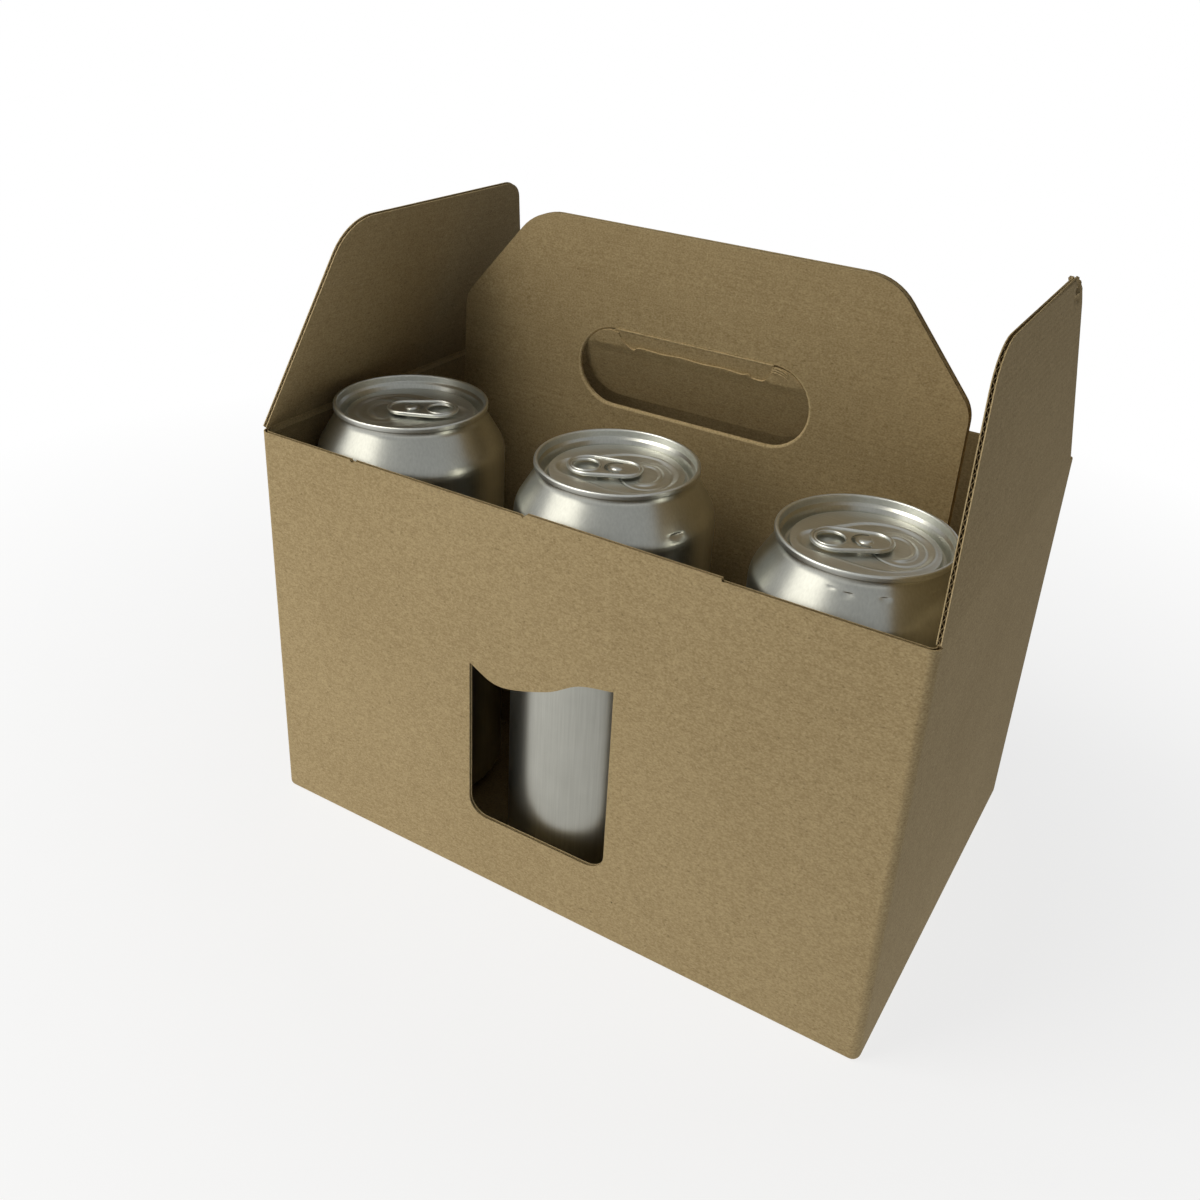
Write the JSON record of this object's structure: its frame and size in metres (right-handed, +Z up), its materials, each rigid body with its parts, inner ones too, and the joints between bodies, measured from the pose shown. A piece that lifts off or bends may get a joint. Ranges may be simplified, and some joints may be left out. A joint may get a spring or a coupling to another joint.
{
  "type": "corrugated can carrier with handle",
  "caption": "Open kraft corrugated carrier with hinged end flaps, a double-leaf handle with a hand hole, a shaped front window and plain drink cans standing in its front row",
  "frame": {"origin": "centre of the carton's footprint, on the surface that it stands on", "axes": "+X along the front wall to the right, +Y from the front wall to the rear wall, +Z up"},
  "size_m": [0.24, 0.161, 0.2274],
  "materials": {
    "kraft_board": "matte kraft liner over fine flutes",
    "can_aluminium": "plain bright drawn aluminium"
  },
  "bodies": {
    "carrier": {"carton": "kraft_board", "front_handle_leaf": "kraft_board", "rear_handle_leaf": "kraft_board", "can_left": "can_aluminium", "can_middle": "can_aluminium", "can_right": "can_aluminium"},
    "left_flap": {"left_end_flap": "kraft_board"},
    "right_flap": {"right_end_flap": "kraft_board"}
  },
  "joints": [
    {"name": "left_flap_crease", "type": "hinge", "parent": "carrier", "child": "left_flap", "pos_m": [-0.1202, 0, 0.1515], "axis": [0, 1, 0], "range_deg": [-197.2, 13.8]},
    {"name": "right_flap_crease", "type": "hinge", "parent": "carrier", "child": "right_flap", "pos_m": [0.1202, 0, 0.1515], "axis": [0, -1, 0], "range_deg": [-183, 28]}
  ]
}
